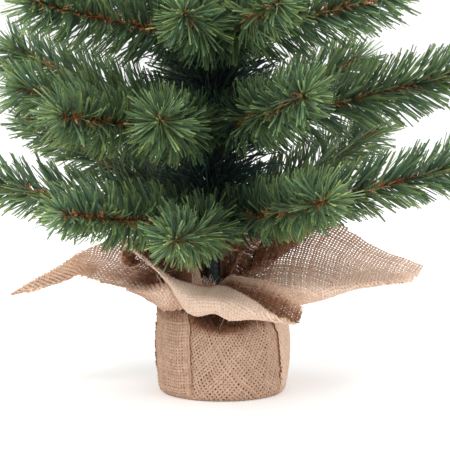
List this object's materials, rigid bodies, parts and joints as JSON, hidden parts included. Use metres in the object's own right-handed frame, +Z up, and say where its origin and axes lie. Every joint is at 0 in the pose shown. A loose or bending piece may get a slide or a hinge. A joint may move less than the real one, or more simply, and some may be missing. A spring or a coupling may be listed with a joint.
{
  "type": "artificial tabletop tree",
  "caption": "Small artificial pine with bendable wire branches in tiers on a film-wrapped trunk, standing in a cement weight wrapped in gathered burlap.",
  "frame": {"origin": "middle of the burlap's flat underside, on the surface that the tree stands on", "axes": "+Z up along the trunk, -Y towards the front, +X to the right seen from the front"},
  "size_m": [0.437, 0.3836, 0.612],
  "materials": {
    "cement": "matte",
    "burlap": "matte",
    "jute": "matte",
    "tube_steel": "satin",
    "film": "satin",
    "wire": "matte",
    "needles": "satin"
  },
  "bodies": {
    "base": {"cement_weight": "cement", "burlap_wrap": "burlap", "neck_tie": "jute", "trunk_tube": "tube_steel", "trunk_film": "film", "leader": "needles"},
    "tier1_branch1": {"tier1_branch1_wire": "wire", "tier1_branch1_needles": "needles"},
    "tier1_branch2": {"tier1_branch2_wire": "wire", "tier1_branch2_needles": "needles"},
    "tier1_branch3": {"tier1_branch3_wire": "wire", "tier1_branch3_needles": "needles"},
    "tier1_branch4": {"tier1_branch4_wire": "wire", "tier1_branch4_needles": "needles"},
    "tier1_branch5": {"tier1_branch5_wire": "wire", "tier1_branch5_needles": "needles"},
    "tier1_branch6": {"tier1_branch6_wire": "wire", "tier1_branch6_needles": "needles"},
    "tier1_branch7": {"tier1_branch7_wire": "wire", "tier1_branch7_needles": "needles"},
    "tier1_branch8": {"tier1_branch8_wire": "wire", "tier1_branch8_needles": "needles"},
    "tier2_branch1": {"tier2_branch1_wire": "wire", "tier2_branch1_needles": "needles"},
    "tier2_branch2": {"tier2_branch2_wire": "wire", "tier2_branch2_needles": "needles"},
    "tier2_branch3": {"tier2_branch3_wire": "wire", "tier2_branch3_needles": "needles"},
    "tier2_branch4": {"tier2_branch4_wire": "wire", "tier2_branch4_needles": "needles"},
    "tier2_branch5": {"tier2_branch5_wire": "wire", "tier2_branch5_needles": "needles"},
    "tier2_branch6": {"tier2_branch6_wire": "wire", "tier2_branch6_needles": "needles"},
    "tier2_branch7": {"tier2_branch7_wire": "wire", "tier2_branch7_needles": "needles"},
    "tier2_branch8": {"tier2_branch8_wire": "wire", "tier2_branch8_needles": "needles"},
    "tier3_branch1": {"tier3_branch1_wire": "wire"},
    "tier3_branch2": {"tier3_branch2_wire": "wire"},
    "tier3_branch3": {"tier3_branch3_wire": "wire", "tier3_branch3_needles": "needles"},
    "tier3_branch4": {"tier3_branch4_wire": "wire", "tier3_branch4_needles": "needles"},
    "tier3_branch5": {"tier3_branch5_wire": "wire", "tier3_branch5_needles": "needles"},
    "tier3_branch6": {"tier3_branch6_wire": "wire", "tier3_branch6_needles": "needles"},
    "tier4_branch1": {"tier4_branch1_wire": "wire"},
    "tier4_branch2": {"tier4_branch2_wire": "wire"},
    "tier4_branch3": {"tier4_branch3_wire": "wire"},
    "tier4_branch4": {"tier4_branch4_wire": "wire"},
    "tier4_branch5": {"tier4_branch5_wire": "wire"},
    "tier5_branch1": {"tier5_branch1_wire": "wire"},
    "tier5_branch2": {"tier5_branch2_wire": "wire"},
    "tier5_branch3": {"tier5_branch3_wire": "wire"},
    "tier5_branch4": {"tier5_branch4_wire": "wire"},
    "tier6_branch1": {"tier6_branch1_wire": "wire"},
    "tier6_branch2": {"tier6_branch2_wire": "wire"},
    "tier6_branch3": {"tier6_branch3_wire": "wire"}
  },
  "joints": [
    {"name": "tier1_branch1_bend", "type": "hinge", "parent": "base", "child": "tier1_branch1", "pos_m": [0.00035, 0.00653, 0.148], "axis": [0.6157, -0.788, 0], "range_deg": [-12, 48], "deforming": ["tier1_branch1_needles"]},
    {"name": "tier1_branch2_bend", "type": "hinge", "parent": "base", "child": "tier1_branch2", "pos_m": [-0.01162, 0.00996, 0.148], "axis": [0.9397, 0.342, 0], "range_deg": [-12, 56], "deforming": ["tier1_branch2_needles"]},
    {"name": "tier1_branch3_bend", "type": "hinge", "parent": "base", "child": "tier1_branch3", "pos_m": [-0.01847, 0.00166, 0.148], "axis": [0.1564, 0.9877, 0], "range_deg": [-12, 60], "deforming": ["tier1_branch3_needles"]},
    {"name": "tier1_branch4_bend", "type": "hinge", "parent": "base", "child": "tier1_branch4", "pos_m": [-0.01438, -0.00847, 0.148], "axis": [-0.7986, 0.6018, 0], "range_deg": [-12, 61], "deforming": ["tier1_branch4_needles"]},
    {"name": "tier1_branch5_bend", "type": "hinge", "parent": "base", "child": "tier1_branch5", "pos_m": [-0.00966, -0.01047, 0.148], "axis": [-0.9877, 0.1564, 0], "range_deg": [-12, 66], "deforming": ["tier1_branch5_needles"]},
    {"name": "tier1_branch6_bend", "type": "hinge", "parent": "base", "child": "tier1_branch6", "pos_m": [-0.00302, -0.00936, 0.148], "axis": [-0.8829, -0.4695, 0], "range_deg": [-12, 57], "deforming": ["tier1_branch6_needles"]},
    {"name": "tier1_branch7_bend", "type": "hinge", "parent": "base", "child": "tier1_branch7", "pos_m": [0.00254, -0.00111, 0.148], "axis": [-0.1045, -0.9945, 0], "range_deg": [-12, 55], "deforming": ["tier1_branch7_needles"]},
    {"name": "tier1_branch8_bend", "type": "hinge", "parent": "base", "child": "tier1_branch8", "pos_m": [-0.01658, 0.00623, 0.148], "axis": [0.5878, 0.809, 0], "range_deg": [-12, 48], "deforming": ["tier1_branch8_needles"]},
    {"name": "tier2_branch1_bend", "type": "hinge", "parent": "base", "child": "tier2_branch1", "pos_m": [-0.00012, 0.00709, 0.225], "axis": [0.6691, -0.7431, 0], "range_deg": [-18, 52], "deforming": ["tier2_branch1_needles"]},
    {"name": "tier2_branch2_bend", "type": "hinge", "parent": "base", "child": "tier2_branch2", "pos_m": [-0.00984, 0.01044, 0.225], "axis": [0.9848, 0.1736, 0], "range_deg": [-18, 56], "deforming": ["tier2_branch2_needles"]},
    {"name": "tier2_branch3_bend", "type": "hinge", "parent": "base", "child": "tier2_branch3", "pos_m": [-0.01802, 0.00345, 0.225], "axis": [0.3256, 0.9455, 0], "range_deg": [-18, 49], "deforming": ["tier2_branch3_needles"]},
    {"name": "tier2_branch4_bend", "type": "hinge", "parent": "base", "child": "tier2_branch4", "pos_m": [-0.01808, -0.00328, 0.225], "axis": [-0.309, 0.9511, 0], "range_deg": [-18, 55], "deforming": ["tier2_branch4_needles"]},
    {"name": "tier2_branch5_bend", "type": "hinge", "parent": "base", "child": "tier2_branch5", "pos_m": [-0.01481, -0.00812, 0.225], "axis": [-0.766, 0.6428, 0], "range_deg": [-18, 61], "deforming": ["tier2_branch5_needles"]},
    {"name": "tier2_branch6_bend", "type": "hinge", "parent": "base", "child": "tier2_branch6", "pos_m": [-0.01038, -0.01033, 0.225], "axis": [-0.9744, 0.225, 0], "range_deg": [-18, 61], "deforming": ["tier2_branch6_needles"]},
    {"name": "tier2_branch7_bend", "type": "hinge", "parent": "base", "child": "tier2_branch7", "pos_m": [-0.00369, -0.00968, 0.225], "axis": [-0.9135, -0.4067, 0], "range_deg": [-18, 55], "deforming": ["tier2_branch7_needles"]},
    {"name": "tier2_branch8_bend", "type": "hinge", "parent": "base", "child": "tier2_branch8", "pos_m": [0.00259, -0.00056, 0.225], "axis": [-0.0523, -0.9986, 0], "range_deg": [-18, 55], "deforming": ["tier2_branch8_needles"]},
    {"name": "tier3_branch1_bend", "type": "hinge", "parent": "base", "child": "tier3_branch1", "pos_m": [-0.0027, 0.00918, 0.3], "axis": [0.866, -0.5, 0], "range_deg": [-18, 53]},
    {"name": "tier3_branch2_bend", "type": "hinge", "parent": "base", "child": "tier3_branch2", "pos_m": [-0.0155, 0.00749, 0.3], "axis": [0.7071, 0.7071, 0], "range_deg": [-18, 54]},
    {"name": "tier3_branch3_bend", "type": "hinge", "parent": "base", "child": "tier3_branch3", "pos_m": [-0.016, -0.00695, 0.3], "axis": [-0.6561, 0.7547, 0], "range_deg": [-18, 57], "deforming": ["tier3_branch3_needles"]},
    {"name": "tier3_branch4_bend", "type": "hinge", "parent": "base", "child": "tier3_branch4", "pos_m": [-0.00948, -0.0105, 0.3], "axis": [-0.9903, 0.1392, 0], "range_deg": [-18, 58], "deforming": ["tier3_branch4_needles"]},
    {"name": "tier3_branch5_bend", "type": "hinge", "parent": "base", "child": "tier3_branch5", "pos_m": [-0.00438, -0.00996, 0.3], "axis": [-0.9397, -0.342, 0], "range_deg": [-18, 55], "deforming": ["tier3_branch5_needles"]},
    {"name": "tier3_branch6_bend", "type": "hinge", "parent": "base", "child": "tier3_branch6", "pos_m": [0.00118, -0.0053, 0.3], "axis": [-0.5, -0.866, 0], "range_deg": [-18, 54], "deforming": ["tier3_branch6_needles"]},
    {"name": "tier4_branch1_bend", "type": "hinge", "parent": "base", "child": "tier4_branch1", "pos_m": [0.00196, 0.00363, 0.37], "axis": [0.342, -0.9397, 0], "range_deg": [-18, 50]},
    {"name": "tier4_branch2_bend", "type": "hinge", "parent": "base", "child": "tier4_branch2", "pos_m": [-0.00837, 0.01059, 0.37], "axis": [0.9994, 0.0349, 0], "range_deg": [-18, 49]},
    {"name": "tier4_branch3_bend", "type": "hinge", "parent": "base", "child": "tier4_branch3", "pos_m": [-0.01819, 0.00292, 0.37], "axis": [0.2756, 0.9613, 0], "range_deg": [-18, 51]},
    {"name": "tier4_branch4_bend", "type": "hinge", "parent": "base", "child": "tier4_branch4", "pos_m": [-0.01393, -0.00879, 0.37], "axis": [-0.829, 0.5592, 0], "range_deg": [-18, 50]},
    {"name": "tier4_branch5_bend", "type": "hinge", "parent": "base", "child": "tier4_branch5", "pos_m": [-0.00147, -0.00835, 0.37], "axis": [-0.788, -0.6157, 0], "range_deg": [-18, 49]},
    {"name": "tier5_branch1_bend", "type": "hinge", "parent": "base", "child": "tier5_branch1", "pos_m": [-0.00192, 0.00868, 0.435], "axis": [0.8192, -0.5736, 0], "range_deg": [-18, 42]},
    {"name": "tier5_branch2_bend", "type": "hinge", "parent": "base", "child": "tier5_branch2", "pos_m": [-0.01668, 0.00608, 0.435], "axis": [0.5736, 0.8192, 0], "range_deg": [-18, 43]},
    {"name": "tier5_branch3_bend", "type": "hinge", "parent": "base", "child": "tier5_branch3", "pos_m": [-0.01453, -0.00835, 0.435], "axis": [-0.788, 0.6157, 0], "range_deg": [-18, 41]},
    {"name": "tier5_branch4_bend", "type": "hinge", "parent": "base", "child": "tier5_branch4", "pos_m": [0.00068, -0.00608, 0.435], "axis": [-0.5736, -0.8192, 0], "range_deg": [-18, 42]},
    {"name": "tier6_branch1_bend", "type": "hinge", "parent": "base", "child": "tier6_branch1", "pos_m": [0.00224, 0.00274, 0.492], "axis": [0.2588, -0.9659, 0], "range_deg": [-18, 32]},
    {"name": "tier6_branch2_bend", "type": "hinge", "parent": "base", "child": "tier6_branch2", "pos_m": [-0.0155, 0.00749, 0.492], "axis": [0.7071, 0.7071, 0], "range_deg": [-18, 33]},
    {"name": "tier6_branch3_bend", "type": "hinge", "parent": "base", "child": "tier6_branch3", "pos_m": [-0.01074, -0.01024, 0.492], "axis": [-0.9659, 0.2588, 0], "range_deg": [-18, 31]}
  ]
}
